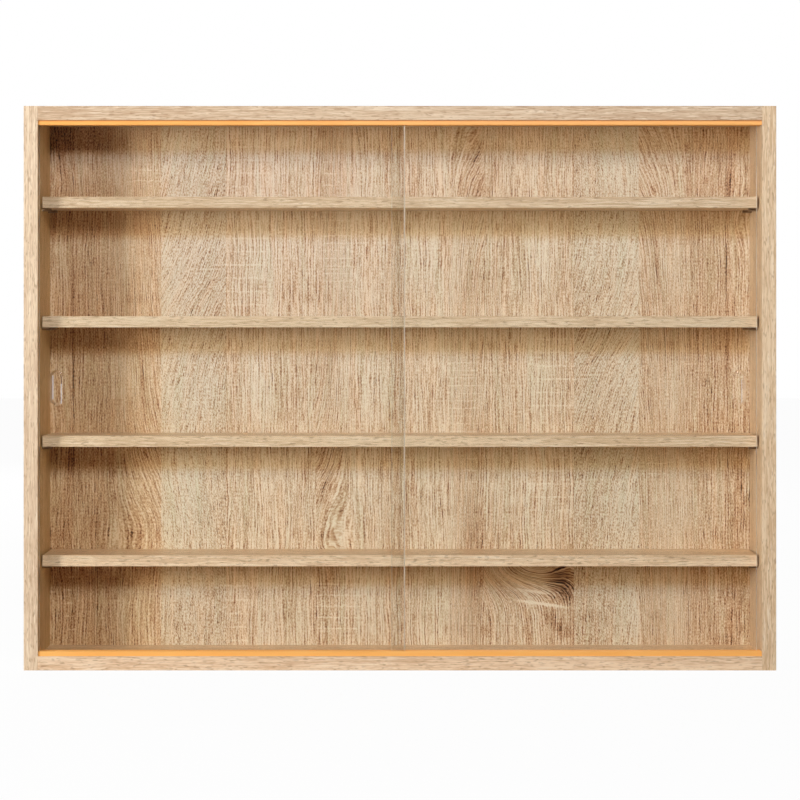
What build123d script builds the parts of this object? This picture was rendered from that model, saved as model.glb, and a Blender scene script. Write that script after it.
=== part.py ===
from build123d import *
import os

os.makedirs("parts", exist_ok=True)

# Collector display case: a shallow oak effect case with four shelves on pins
# and two glass doors that slide past each other in plastic tracks.
# Millimetres. X runs to the right, Y from the front into the case, Z up.
# The origin lies on the floor, under the middle of the case.

# Case
case_width = 800.0
case_depth = 95.0
case_height = 600.0
board = 15.0
edge_band = 0.8
band_rounding = 0.4

# Back, two halves of thin board that meet on the middle line
back_thickness = 3.0
back_recess = 8.0
back_groove_depth = 5.0
back_groove_clearance = 0.2
back_seam = 0.3
tape_width = 30.0
tape_thickness = 0.4

# Shelves, numbered from the top
shelf_count = 4
shelf_thickness = 12.0
shelf_setback = 20.0
shelf_side_gap = 2.0
shelf_back_gap = 0.5
lowest_shelf_z = 108.5
shelf_pitch = 128.0

# Shelf pins, four to a shelf
pin_diameter = 3.0
pin_in_board = 10.0
pin_in_case = 10.0
pin_front_inset = 11.0
pin_rear_inset = 12.0
pin_clearance = 0.05

# Glass doors
glass_thickness = 4.0
glass_side_clearance = 0.4
glass_lift_clearance = 0.3
glass_in_top_track = 4.0
glass_arris = 0.5
door_stop_gap = 0.5
closed_overlap = 11.0
right_door_ajar = 3.4

# Finger recess ground into the outer face of each door
recess_from_edge = 19.0
recess_height = 38.0
recess_width = 14.4
recess_floor_width = 8.8
recess_depth = 1.4

# Tracks
track_setback = 2.0
track_wall = 1.3
track_base = 1.2
track_visible = 5.0
top_track_sunk = 5.0
track_end_gap = 0.2
track_lip_rounding = 0.35

# Corner joints: two dowels and one screw at each corner
dowel_diameter = 8.0
dowel_in_side = 10.0
dowel_in_end = 20.0
dowel_spacing = 44.0
joint_clearance = 0.05
hole_end_gap = 0.5
screw_head_diameter = 10.0
screw_head_height = 3.5
screw_neck_diameter = 7.0
screw_core_diameter = 5.0
screw_in_end = 36.0
screw_socket_flats = 4.0
screw_socket_depth = 2.2
cap_diameter = 12.0
cap_thickness = 1.0
cap_stem_diameter = 3.4
cap_stem_length = 1.6

# Wall hangers at the back of the top board
hanger_from_side = 85.0
hanger_width = 50.0
hanger_thickness = 1.5
hanger_below_board = 18.0
hanger_margin = 2.0
hanger_corner = 3.0
keyhole_entry_diameter = 9.0
keyhole_slot_diameter = 5.0
keyhole_rise = 6.5
keyhole_drop = 11.5
hanger_screw_spacing = 36.0
hanger_screw_drop = 6.5
hanger_screw_diameter = 3.5
hanger_screw_head_diameter = 6.4
hanger_screw_length = 16.0

# Places that follow from the sizes above
front_y = -case_depth / 2
rear_y = case_depth / 2
core_front_y = front_y + edge_band
inner_half = case_width / 2 - board
inner_top_z = case_height - board
side_centre_x = case_width / 2 - board / 2
bottom_joint_z = board / 2
top_joint_z = case_height - board / 2

back_rear_y = rear_y - back_recess
back_front_y = back_rear_y - back_thickness
back_centre_y = back_rear_y - back_thickness / 2
back_groove_width = back_thickness + 2 * back_groove_clearance
back_in_groove = back_groove_depth - 2 * back_groove_clearance

shelf_front_y = front_y + shelf_setback
shelf_rear_y = back_front_y - shelf_back_gap
shelf_half = inner_half - shelf_side_gap
shelf_floors = [lowest_shelf_z + shelf_pitch * step for step in range(shelf_count)][::-1]
pin_rows = [shelf_front_y + pin_front_inset, shelf_rear_y - pin_rear_inset]

track_front_y = front_y + track_setback
track_channel = glass_thickness + 2 * glass_side_clearance
track_width = 3 * track_wall + 2 * track_channel
track_half = inner_half - track_end_gap
front_channel_y = track_front_y + track_wall + track_channel / 2
rear_channel_y = front_channel_y + track_wall + track_channel

door_width = (2 * inner_half - 2 * door_stop_gap + closed_overlap) / 2
door_bottom_z = board + track_base + glass_lift_clearance
door_top_z = inner_top_z - track_visible + glass_in_top_track
door_middle_z = (door_bottom_z + door_top_z) / 2
left_door_x = -inner_half + door_stop_gap + door_width / 2
right_door_x = inner_half - door_stop_gap - right_door_ajar - door_width / 2

dowel_rows = [-dowel_spacing / 2, dowel_spacing / 2]
screw_head_x = case_width / 2 - cap_thickness
screw_neck_x = screw_head_x - screw_head_height
screw_tip_x = inner_half - screw_in_end

hanger_x = inner_half - hanger_from_side
hanger_top_z = case_height - hanger_margin
hanger_bottom_z = inner_top_z - hanger_below_board
hanger_screw_z = case_height - hanger_screw_drop
keyhole_z = inner_top_z - keyhole_drop


def at_depth(y):
    """An upright plane at depth y; what is extruded from it grows towards the front."""
    return Plane.XZ.offset(-y)


def save(piece, name):
    """Names a finished piece and writes it."""
    piece.label = name
    export_step(piece, f"parts/{name}.step")


def side_panel(side):
    """An upright board of full height; side is -1 on the left and 1 on the right."""
    depth = rear_y - core_front_y
    with BuildPart() as panel:
        with BuildSketch(Plane.XY):
            with Locations((side * side_centre_x, core_front_y + depth / 2)):
                Rectangle(board, depth)
        extrude(amount=case_height - edge_band)
        # Stopped groove that holds the edge of the back
        groove_half_height = case_height / 2 - board + back_groove_depth
        with BuildSketch(at_depth(back_centre_y + back_groove_width / 2)):
            with Locations((side * (inner_half + back_groove_depth / 2), case_height / 2)):
                Rectangle(back_groove_depth, 2 * groove_half_height)
        extrude(amount=back_groove_width, mode=Mode.SUBTRACT)
        # Blind holes for the shelf pins
        pin_hole = pin_in_board + hole_end_gap
        for floor_z in shelf_floors:
            for y in pin_rows:
                with Locations((side * (inner_half + pin_hole / 2), y, pin_centre_z(floor_z))):
                    bore_along_x(pin_diameter / 2 + pin_clearance, pin_hole)
        # Dowel holes, and a stepped hole for each corner screw and its cap
        for z in (bottom_joint_z, top_joint_z):
            dowel_hole = dowel_in_side + hole_end_gap
            for y in dowel_rows:
                with Locations((side * (inner_half + dowel_hole / 2), y, z)):
                    bore_along_x(dowel_diameter / 2 + joint_clearance, dowel_hole)
            with Locations((side * side_centre_x, 0, z)):
                bore_along_x(screw_neck_diameter / 2 + joint_clearance, board)
            head_hole = cap_thickness + screw_head_height
            with Locations((side * (case_width / 2 - head_hole / 2), 0, z)):
                bore_along_x(screw_head_diameter / 2 + joint_clearance, head_hole)
            with Locations((side * (case_width / 2 - cap_thickness / 2), 0, z)):
                bore_along_x(cap_diameter / 2 + joint_clearance, cap_thickness)
    return panel.part


def bore_along_x(radius, length):
    """A round hole along X, cut at the place that is set around the call."""
    Cylinder(radius, length, rotation=(0, 90, 0), mode=Mode.SUBTRACT)


def pin_centre_z(floor_z):
    """Height of the middle of a pin that carries the shelf with this underside."""
    return floor_z - pin_clearance - pin_diameter / 2


def bore_board_ends(z):
    """Dowel and screw holes in both ends of the top or bottom board."""
    dowel_hole = dowel_in_end + hole_end_gap
    screw_hole = screw_in_end + hole_end_gap
    for side in (-1, 1):
        for y in dowel_rows:
            with Locations((side * (inner_half - dowel_hole / 2), y, z)):
                bore_along_x(dowel_diameter / 2 + joint_clearance, dowel_hole)
        with Locations((side * (inner_half - screw_hole / 2), 0, z)):
            bore_along_x(screw_core_diameter / 2 + joint_clearance, screw_hole)


def strip_of_band(width, height, centre_x, centre_z, strip_front_y, long_axis):
    """Edge band glued on the front of a board, with its two long front edges rounded."""
    with BuildPart() as strip:
        with BuildSketch(at_depth(strip_front_y + edge_band)):
            with Locations((centre_x, centre_z)):
                Rectangle(width, height)
        extrude(amount=edge_band)
        front_edges = strip.faces().sort_by(Axis.Y)[0].edges()
        fillet(front_edges.filter_by(long_axis), radius=min(band_rounding, 0.8 * edge_band))
    return strip.part


def double_track(base_z, height, channels_up):
    """Plastic track with two channels; base_z is the outer face of its base."""
    direction = 1 if channels_up else -1
    with BuildPart() as track:
        with BuildSketch(Plane.YZ):
            with Locations((track_front_y + track_width / 2, base_z + direction * height / 2)):
                Rectangle(track_width, height)
            channel_depth = height - track_base
            for y in (front_channel_y, rear_channel_y):
                with Locations((y, base_z + direction * (height - channel_depth / 2))):
                    Rectangle(track_channel, channel_depth, mode=Mode.SUBTRACT)
        extrude(amount=track_half, both=True)
        lips = track.faces().filter_by(Axis.Z).group_by(Axis.Z)[-1 if channels_up else 0]
        fillet(lips.edges().filter_by(Axis.X), radius=min(track_lip_rounding, 0.3 * track_wall))
    return track.part


def glass_door(centre_x, channel_y, outer_side):
    """A glass pane with ground edges and a finger recess near its outer edge."""
    face_y = channel_y - glass_thickness / 2
    recess_x = centre_x + outer_side * (door_width / 2 - recess_from_edge)
    with BuildPart() as pane:
        with BuildSketch(at_depth(channel_y + glass_thickness / 2)):
            with Locations((centre_x, door_middle_z)):
                Rectangle(door_width, door_top_z - door_bottom_z)
        extrude(amount=glass_thickness)
        faces = pane.faces().filter_by(Axis.Y)
        chamfer(faces.edges(), length=min(glass_arris, 0.3 * glass_thickness))
        side_run = (recess_width - recess_floor_width) / 2
        with BuildSketch(at_depth(face_y)):
            with Locations((recess_x, door_middle_z)):
                SlotOverall(recess_height, recess_width, rotation=90)
        with BuildSketch(at_depth(face_y + recess_depth)):
            with Locations((recess_x, door_middle_z)):
                SlotOverall(recess_height - 2 * side_run, recess_floor_width, rotation=90)
        loft(ruled=True, mode=Mode.SUBTRACT)
    return pane.part


def back_half(side):
    """One half of the thin back, held in the grooves and meeting the other on the middle line."""
    outer_x = inner_half + back_in_groove
    height = inner_top_z - board + 2 * back_in_groove
    width = outer_x - back_seam / 2
    with BuildPart() as half:
        with BuildSketch(at_depth(back_rear_y)):
            with Locations((side * (outer_x - width / 2), (board + inner_top_z) / 2)):
                Rectangle(width, height)
        extrude(amount=back_thickness)
    return half.part


def shelf_board(floor_z):
    """A loose shelf without its front band."""
    core_y = shelf_front_y + edge_band
    with BuildPart() as shelf:
        with BuildSketch(Plane.XY.offset(floor_z)):
            with Locations((0, (core_y + shelf_rear_y) / 2)):
                Rectangle(2 * shelf_half, shelf_rear_y - core_y)
        extrude(amount=shelf_thickness)
    return shelf.part


def shelf_pins(floor_z):
    """Four steel pins, half in the side boards and half under the shelf."""
    pin_x = inner_half + (pin_in_board - pin_in_case) / 2
    with BuildPart() as pins:
        for side in (-1, 1):
            for y in pin_rows:
                with Locations((side * pin_x, y, pin_centre_z(floor_z))):
                    Cylinder(pin_diameter / 2, pin_in_board + pin_in_case, rotation=(0, 90, 0))
        chamfer(pins.edges().filter_by(GeomType.CIRCLE), length=0.1 * pin_diameter)
    return pins.part


def hanger_plate(centre_x):
    """A steel plate on the rear edge of the top board, with a keyhole below it."""
    with BuildPart() as plate:
        with BuildSketch(at_depth(rear_y)):
            with Locations((centre_x, (hanger_top_z + hanger_bottom_z) / 2)):
                RectangleRounded(hanger_width, hanger_top_z - hanger_bottom_z, hanger_corner)
            with Locations((centre_x, keyhole_z)):
                Circle(keyhole_entry_diameter / 2, mode=Mode.SUBTRACT)
            with Locations((centre_x, keyhole_z + keyhole_rise / 2)):
                SlotCenterToCenter(keyhole_rise, keyhole_slot_diameter, rotation=90, mode=Mode.SUBTRACT)
        extrude(amount=hanger_thickness)
        for screw_x in hanger_screw_places(centre_x):
            with Locations(Plane(origin=(screw_x, rear_y, hanger_screw_z), z_dir=(0, 1, 0))):
                CounterSinkHole(
                    radius=hanger_screw_diameter / 2 + joint_clearance,
                    counter_sink_radius=hanger_screw_head_diameter / 2 + joint_clearance,
                    depth=2 * hanger_thickness,
                    counter_sink_angle=90,
                )
    return plate.part


def hanger_screw_places(centre_x):
    """X of the two screws that hold one hanger plate."""
    return (centre_x - hanger_screw_spacing / 2, centre_x + hanger_screw_spacing / 2)


# Side boards
save(side_panel(-1), "left_side_panel")
save(side_panel(1), "right_side_panel")

# Top board: a groove for the sunk track, a groove for the back and a pocket for each hanger
with BuildPart() as top_panel:
    with BuildSketch(Plane.YZ):
        with Locations(((core_front_y + rear_y) / 2, top_joint_z)):
            Rectangle(rear_y - core_front_y, board)
        with Locations((track_front_y + track_width / 2, inner_top_z + top_track_sunk / 2)):
            Rectangle(track_width, top_track_sunk, mode=Mode.SUBTRACT)
        with Locations((back_centre_y, inner_top_z + back_groove_depth / 2)):
            Rectangle(back_groove_width, back_groove_depth, mode=Mode.SUBTRACT)
    extrude(amount=inner_half, both=True)
    bore_board_ends(top_joint_z)
    pocket_height = hanger_top_z + joint_clearance - inner_top_z
    for side in (-1, 1):
        with BuildSketch(at_depth(rear_y)):
            with Locations((side * hanger_x, inner_top_z + pocket_height / 2)):
                Rectangle(hanger_width + 2 * joint_clearance, pocket_height)
        extrude(amount=hanger_thickness, mode=Mode.SUBTRACT)
        for screw_x in hanger_screw_places(side * hanger_x):
            with Locations(Plane(origin=(screw_x, rear_y, hanger_screw_z), z_dir=(0, 1, 0))):
                Hole(
                    radius=hanger_screw_diameter / 2 + joint_clearance,
                    depth=hanger_screw_length + hole_end_gap,
                )
save(top_panel.part, "top_panel")

# Bottom board: a groove for the back, and the lower track lies flat on it
with BuildPart() as bottom_panel:
    with BuildSketch(Plane.YZ):
        with Locations(((core_front_y + rear_y) / 2, bottom_joint_z)):
            Rectangle(rear_y - core_front_y, board)
        with Locations((back_centre_y, board - back_groove_depth / 2)):
            Rectangle(back_groove_width, back_groove_depth, mode=Mode.SUBTRACT)
    extrude(amount=inner_half, both=True)
    bore_board_ends(bottom_joint_z)
save(bottom_panel.part, "bottom_panel")

# Edge bands on the fronts of the four case boards
save(
    strip_of_band(board, case_height, -side_centre_x, case_height / 2, front_y, Axis.Z),
    "left_side_edge_band",
)
save(
    strip_of_band(board, case_height, side_centre_x, case_height / 2, front_y, Axis.Z),
    "right_side_edge_band",
)
save(strip_of_band(2 * inner_half, board, 0, top_joint_z, front_y, Axis.X), "top_edge_band")
save(strip_of_band(2 * inner_half, board, 0, bottom_joint_z, front_y, Axis.X), "bottom_edge_band")

# Bands on the upper ends of the side boards
with BuildPart() as side_panel_end_bands:
    with BuildSketch(Plane.XY.offset(case_height)):
        with Locations(
            (-side_centre_x, (core_front_y + rear_y) / 2),
            (side_centre_x, (core_front_y + rear_y) / 2),
        ):
            Rectangle(board, rear_y - core_front_y)
    extrude(amount=-edge_band)
save(side_panel_end_bands.part, "side_panel_end_bands")

# Back, with the tape that joins its halves from behind
save(back_half(-1), "back_panel_left")
save(back_half(1), "back_panel_right")
with BuildPart() as back_panel_tape:
    with BuildSketch(at_depth(back_rear_y + tape_thickness)):
        with Locations((0, (board + inner_top_z) / 2)):
            Rectangle(tape_width, inner_top_z - board - 2 * joint_clearance)
    extrude(amount=tape_thickness)
save(back_panel_tape.part, "back_panel_tape")

# Shelves, their front bands and their pins
for number, floor_z in enumerate(shelf_floors, start=1):
    save(shelf_board(floor_z), f"shelf_{number}")
    save(
        strip_of_band(
            2 * shelf_half, shelf_thickness, 0, floor_z + shelf_thickness / 2, shelf_front_y, Axis.X
        ),
        f"shelf_{number}_edge_band",
    )
    save(shelf_pins(floor_z), f"shelf_{number}_pins")

# Tracks: the upper one is sunk into the top board, which leaves room to lift a door out
save(double_track(inner_top_z + top_track_sunk, top_track_sunk + track_visible, False), "top_track")
save(double_track(board, track_visible, True), "bottom_track")

# Doors: the left one runs in the front channel and the right one behind it
save(glass_door(left_door_x, front_channel_y, -1), "left_door_glass")
save(glass_door(right_door_x, rear_channel_y, 1), "right_door_glass")

# Dowels of the corner joints
with BuildPart() as corner_dowels:
    dowel_x = inner_half + (dowel_in_side - dowel_in_end) / 2
    for side in (-1, 1):
        for z in (bottom_joint_z, top_joint_z):
            for y in dowel_rows:
                with Locations((side * dowel_x, y, z)):
                    Cylinder(dowel_diameter / 2, dowel_in_side + dowel_in_end, rotation=(0, 90, 0))
    chamfer(corner_dowels.edges().filter_by(GeomType.CIRCLE), length=0.1 * dowel_diameter)
save(corner_dowels.part, "corner_dowels")

# Corner screws, with their threads left plain
with BuildPart() as corner_screws:
    for side in (-1, 1):
        for z in (bottom_joint_z, top_joint_z):
            core_length = screw_neck_x - screw_tip_x
            with Locations((side * (screw_tip_x + core_length / 2), 0, z)):
                Cylinder(screw_core_diameter / 2, core_length, rotation=(0, 90, 0))
            neck_length = screw_neck_x - inner_half
            with Locations((side * (inner_half + neck_length / 2), 0, z)):
                Cylinder(screw_neck_diameter / 2, neck_length, rotation=(0, 90, 0))
            with Locations((side * (screw_head_x - screw_head_height / 2), 0, z)):
                Cylinder(screw_head_diameter / 2, screw_head_height, rotation=(0, 90, 0))
            socket_plane = Plane(origin=(side * screw_head_x, 0, z), z_dir=(side, 0, 0))
            with BuildSketch(socket_plane):
                RegularPolygon(screw_socket_flats / 2, side_count=6, major_radius=False)
            extrude(amount=-screw_socket_depth, mode=Mode.SUBTRACT)
save(corner_screws.part, "corner_screws")

# Caps that close the screw holes flush with the outer faces
with BuildPart() as screw_caps:
    for side in (-1, 1):
        for z in (bottom_joint_z, top_joint_z):
            with Locations((side * (case_width / 2 - cap_thickness / 2), 0, z)):
                Cylinder(cap_diameter / 2, cap_thickness, rotation=(0, 90, 0))
            with Locations((side * (screw_head_x - cap_stem_length / 2), 0, z)):
                Cylinder(cap_stem_diameter / 2, cap_stem_length, rotation=(0, 90, 0))
save(screw_caps.part, "screw_caps")

# Wall hangers and their countersunk screws
save(hanger_plate(-hanger_x), "left_hanger_plate")
save(hanger_plate(hanger_x), "right_hanger_plate")
with BuildPart() as hanger_screws:
    head_height = (hanger_screw_head_diameter - hanger_screw_diameter) / 2
    for side in (-1, 1):
        for screw_x in hanger_screw_places(side * hanger_x):
            screw_plane = Plane(origin=(screw_x, rear_y, hanger_screw_z), z_dir=(0, -1, 0))
            with BuildSketch(screw_plane):
                Circle(hanger_screw_diameter / 2)
            extrude(amount=hanger_screw_length)
            with BuildSketch(screw_plane):
                Circle(hanger_screw_head_diameter / 2)
            with BuildSketch(screw_plane.offset(head_height)):
                Circle(hanger_screw_diameter / 2)
            loft(ruled=True)
save(hanger_screws.part, "hanger_screws")

left_travel = 2 * inner_half - 2 * door_stop_gap - door_width
print("door width", door_width, "height", door_top_z - door_bottom_z)
print("left door slides from 0 to", left_travel)
print("right door slides from", right_door_ajar - left_travel, "to", right_door_ajar)
print("lift needed", track_visible - track_base - glass_lift_clearance)
print("lift room", top_track_sunk + track_visible - track_base - glass_in_top_track)
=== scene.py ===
"""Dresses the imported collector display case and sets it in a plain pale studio.

The case is built from oak effect boards with five compartments, a printed back in two halves and two
glass doors in orange tracks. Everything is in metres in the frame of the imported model: X to the right,
Y from the front into the case, Z up. Surface patterns and facets are written in millimetres of the same
frame.
"""

from __future__ import annotations

import logging
import math
from collections.abc import Mapping, Sequence
from dataclasses import dataclass
from enum import Enum
from functools import reduce
from typing import TypeAlias

import bpy
from bpy.types import ID, Material, Node, NodeSocket, NodeTree, Object
from mathutils import Color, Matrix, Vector


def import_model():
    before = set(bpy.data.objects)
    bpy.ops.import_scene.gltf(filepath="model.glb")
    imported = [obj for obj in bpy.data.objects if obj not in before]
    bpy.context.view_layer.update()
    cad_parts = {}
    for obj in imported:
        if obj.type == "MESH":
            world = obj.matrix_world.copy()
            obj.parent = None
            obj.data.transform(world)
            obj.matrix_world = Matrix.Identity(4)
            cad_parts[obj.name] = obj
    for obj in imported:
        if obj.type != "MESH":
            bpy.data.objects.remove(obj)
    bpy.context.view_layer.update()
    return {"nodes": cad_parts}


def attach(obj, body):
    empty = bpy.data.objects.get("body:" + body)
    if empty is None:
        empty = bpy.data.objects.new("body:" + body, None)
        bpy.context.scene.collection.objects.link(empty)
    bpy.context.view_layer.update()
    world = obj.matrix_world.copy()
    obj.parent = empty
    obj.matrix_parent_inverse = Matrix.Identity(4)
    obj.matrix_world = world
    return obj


LOG = logging.getLogger("display_case")
MM = 0.001
TURN = 2.0 * math.pi

# The places of a Mix node's sockets for colours.
MIX_AMOUNT, MIX_BELOW, MIX_ABOVE, MIX_RESULT = 0, 6, 7, 2

# A face is square on to an axis where this share of its normal lies along it.
SQUARE_ON = 0.7

# How many different seeds the names of the materials give.
SEEDS = 97

Span: TypeAlias = tuple[float, float]
Spot: TypeAlias = tuple[float, float, float]
Number: TypeAlias = "Field | float"
Colour: TypeAlias = "Field | Tint"
Value: TypeAlias = "Field | Node | Tint | float"
Place: TypeAlias = "Sequence[Field]"
Stops: TypeAlias = "tuple[tuple[float, Tint], ...]"


class Grain(Enum):
    """The way the grain of a board or a band runs."""

    ALONG = "X"
    DEEP = "Y"
    UPRIGHT = "Z"


class Bare(Enum):
    """The faces of a board that may have no foil."""

    ENDS = "ends"
    REAR = "rear"
    UNDER = "under"


@dataclass(frozen=True)
class Tint:
    """A colour in 8 bit sRGB."""

    red: int
    green: int
    blue: int

    def linear(self) -> tuple[float, float, float, float]:
        """The same colour in the linear light that shaders work in, with an alpha of 1."""
        screen = Color((self.red / 255, self.green / 255, self.blue / 255))
        return (*screen.from_srgb_to_scene_linear(), 1.0)


@dataclass(frozen=True)
class Noise:
    """A layer of soft noise, and what it adds at its strongest.

    The size of its features is in millimetres, three ways for a solid pattern and two for a flat one.
    """

    size: tuple[float, ...]
    strength: float = 1.0
    detail: float = 2.0
    seed: float = 0.0
    rough: float = 0.5


@dataclass(frozen=True)
class Specks:
    """Scattered specks, at most one in each cell of the given size in millimetres.

    A speck fades out between two distances from its middle, counted in cells. It shows where its random
    luck, from 0 to 1, is high.
    """

    cell: tuple[float, ...]
    edge: Span = (0.42, 0.16)
    luck: Span = (0.5, 0.8)
    seed: float = 0.0


@dataclass(frozen=True)
class Field:
    """A value or colour that varies over a surface: one output of a tree of nodes.

    Fields add, subtract, multiply and divide like numbers, and each step becomes a node.
    """

    nodes: Nodes
    socket: NodeSocket

    def __add__(self, other: Number) -> Field:
        """This field plus another."""
        return self.nodes.math("ADD", self, other)

    def __sub__(self, other: Number) -> Field:
        """This field minus another."""
        return self.nodes.math("SUBTRACT", self, other)

    def __mul__(self, other: Number) -> Field:
        """This field times another."""
        return self.nodes.math("MULTIPLY", self, other)

    def __truediv__(self, other: Number) -> Field:
        """This field divided by another."""
        return self.nodes.math("DIVIDE", self, other)

    def __rsub__(self, other: float) -> Field:
        """A number minus this field."""
        return self.nodes.math("SUBTRACT", other, self)

    __radd__ = __add__
    __rmul__ = __mul__

    def __neg__(self) -> Field:
        """This field with its sign turned."""
        return self * -1.0

    def __abs__(self) -> Field:
        """The size of this field without its sign."""
        return self.nodes.math("ABSOLUTE", self)

    def at_least(self, other: Number) -> Field:
        """The larger of this field and another."""
        return self.nodes.math("MAXIMUM", self, other)

    def at_most(self, other: Number) -> Field:
        """The smaller of this field and another."""
        return self.nodes.math("MINIMUM", self, other)

    def above(self, limit: float) -> Field:
        """1 where this field is over the limit and 0 elsewhere."""
        return self.nodes.math("GREATER_THAN", self, limit)

    def within(self, span: Span) -> Field:
        """1 where this field is in the span and 0 elsewhere."""
        return self.above(span[0]) - self.above(span[1])

    def squared(self) -> Field:
        """This field times itself."""
        return self * self

    def sine(self) -> Field:
        """The sine of this field in radians."""
        return self.nodes.math("SINE", self)

    def fading(self) -> Field:
        """1 where this field is 0, and softly less the larger it is."""
        return self.nodes.math("EXPONENT", -self)

    def eased(self, start: float = 0.0, end: float = 1.0) -> Field:
        """A soft step over this field.

        Args:
            start: The value at which the step is still 0.
            end: The value at which it has reached 1; it may be the lower one.

        Returns:
            The step, from 0 to 1.
        """
        low, high, first, last = (start, end, 0.0, 1.0) if start < end else (end, start, 1.0, 0.0)
        inputs = {"Value": self, "From Min": low, "From Max": high, "To Min": first, "To Max": last}
        node = self.nodes.add("ShaderNodeMapRange", inputs, interpolation_type="SMOOTHSTEP")
        return Field(self.nodes, node.outputs["Result"])


class Nodes:
    """The nodes of a material or a world, with a method for each kind that the finishes use."""

    def __init__(self, tree: NodeTree) -> None:
        """Starts with an empty tree."""
        self.tree = tree
        tree.nodes.clear()

    def add(self, kind: str, inputs: Mapping[str | int, Value], **settings: str) -> Node:
        """Adds a node.

        Args:
            kind: The node's type, as Blender names it.
            inputs: What goes into its inputs, by their names or their places in the list.
            **settings: Properties to set on it.

        Returns:
            The new node.
        """
        made = self.tree.nodes.new(kind)
        for name, setting in settings.items():
            setattr(made, name, setting)
        for key, value in inputs.items():
            self.feed(made.inputs[key], value)
        return made

    def feed(self, socket: NodeSocket, value: Value) -> None:
        """Links a field or a shader to an input, or sets a constant on it.

        Args:
            socket: The input.
            value: A field, a shader's node, a colour or a number.
        """
        if isinstance(value, Field):
            self.tree.links.new(value.socket, socket)
        elif isinstance(value, Node):
            self.tree.links.new(value.outputs[0], socket)
        else:
            socket.default_value = value.linear() if isinstance(value, Tint) else value

    def math(self, operation: str, *operands: Number) -> Field:
        """Combines one or two fields and numbers by an operation of the Math node."""
        node = self.add("ShaderNodeMath", dict(enumerate(operands)), operation=operation)
        return Field(self, node.outputs[0])

    def split(self, output: str) -> tuple[Field, Field, Field]:
        """Splits the coordinates of the piece.

        Args:
            output: The output of the Texture Coordinate node.

        Returns:
            The values along X, Y and Z.
        """
        whole = Field(self, self.add("ShaderNodeTexCoord", {}).outputs[output])
        x, y, z = (Field(self, part) for part in self.add("ShaderNodeSeparateXYZ", {0: whole}).outputs)
        return x, y, z

    def place(self) -> tuple[Field, Field, Field]:
        """The place on the piece in millimetres of the case's frame, as X, Y and Z."""
        x, y, z = self.split("Object")
        return x / MM, y / MM, z / MM

    def facing(self) -> tuple[Field, Field, Field]:
        """The way the surface faces on the piece, as X, Y and Z from -1 to 1."""
        return self.split("Normal")

    def rays(self, *kinds: str) -> Field:
        """1 for rays of the given kinds, such as Camera, and 0 for all others."""
        path = self.add("ShaderNodeLightPath", {})
        return reduce(Field.at_least, [Field(self, path.outputs[f"Is {kind} Ray"]) for kind in kinds])

    def measured(self, place: Place, size: Sequence[float], seed: float) -> Field:
        """The place on a pattern, counted in the sizes of its features.

        Args:
            place: Two or three coordinates in millimetres.
            size: The size of the features along each of them.
            seed: The third coordinate of a flat pattern, or what that of a solid one is moved by.

        Returns:
            The place as a point.
        """
        ways: list[Number] = [way / length for way, length in zip(place, size)]
        if len(ways) == 2:
            ways.append(seed)
        elif seed:
            ways[2] = ways[2] + seed
        return Field(self, self.add("ShaderNodeCombineXYZ", dict(enumerate(ways))).outputs[0])

    def noise(self, place: Place, layer: Noise, shift: float = 0.0) -> Field:
        """Soft random noise about 0, before the layer's strength.

        Args:
            place: Two or three coordinates in millimetres.
            layer: The layer to draw.
            shift: A number that is added to its seed.

        Returns:
            The noise, mostly from -1 to 1.
        """
        point = self.measured(place, layer.size, layer.seed + shift)
        inputs = {"Vector": point, "Scale": 1.0, "Detail": layer.detail, "Roughness": layer.rough}
        node = self.add("ShaderNodeTexNoise", inputs, noise_dimensions="3D")
        return (Field(self, node.outputs["Fac"]) - 0.5) * 2.0

    def dots(self, place: Place, cell: Sequence[float], seed: float = 0.0) -> tuple[Field, Field]:
        """Scattered points, one in each cell.

        Args:
            place: Two or three coordinates in millimetres.
            cell: The size of a cell along each of them.
            seed: A number that tells one pattern from another.

        Returns:
            The distance to the nearest point, and a random number from 0 to 1 that belongs to it.
        """
        inputs = {"Vector": self.measured(place, cell, seed), "Scale": 1.0}
        node = self.add("ShaderNodeTexVoronoi", inputs, voronoi_dimensions="3D")
        random = self.add("ShaderNodeSeparateColor", {0: Field(self, node.outputs["Color"])})
        return Field(self, node.outputs["Distance"]), Field(self, random.outputs[0])

    def specks(self, place: Place, specks: Specks) -> Field:
        """1 on scattered specks and 0 beside them, with soft edges."""
        distance, luck = self.dots(place, specks.cell, specks.seed)
        return distance.eased(*specks.edge) * luck.eased(*specks.luck)

    def curve(self, value: Field, length: float, points: Sequence[Span]) -> Field:
        """A smooth curve drawn through points.

        Args:
            value: The field that runs along the curve, from 0.
            length: The value at the curve's end.
            points: Value and height pairs, with heights from 0 to 1.

        Returns:
            The height of the curve.
        """
        node = self.add("ShaderNodeFloatCurve", {"Value": value * (1.0 / length)})
        line = node.mapping.curves[0]
        shares = [(at / length, height) for at, height in points]
        line.points[0].location, line.points[1].location = shares[0], shares[-1]
        for share in shares[1:-1]:
            line.points.new(*share)
        node.mapping.update()
        return Field(self, node.outputs[0])

    def ramp(self, value: Field, stops: Stops) -> Field:
        """Colours that follow a value.

        Args:
            value: The field that picks the colour.
            stops: Values from 0 to 1 with their colours.

        Returns:
            The colour.
        """
        node = self.add("ShaderNodeValToRGB", {0: value})
        elements = node.color_ramp.elements
        for element, (at, tint) in zip(elements, (stops[0], stops[-1])):
            element.position, element.color = at, tint.linear()
        for at, tint in stops[1:-1]:
            elements.new(at).color = tint.linear()
        return Field(self, node.outputs[0])

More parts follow.
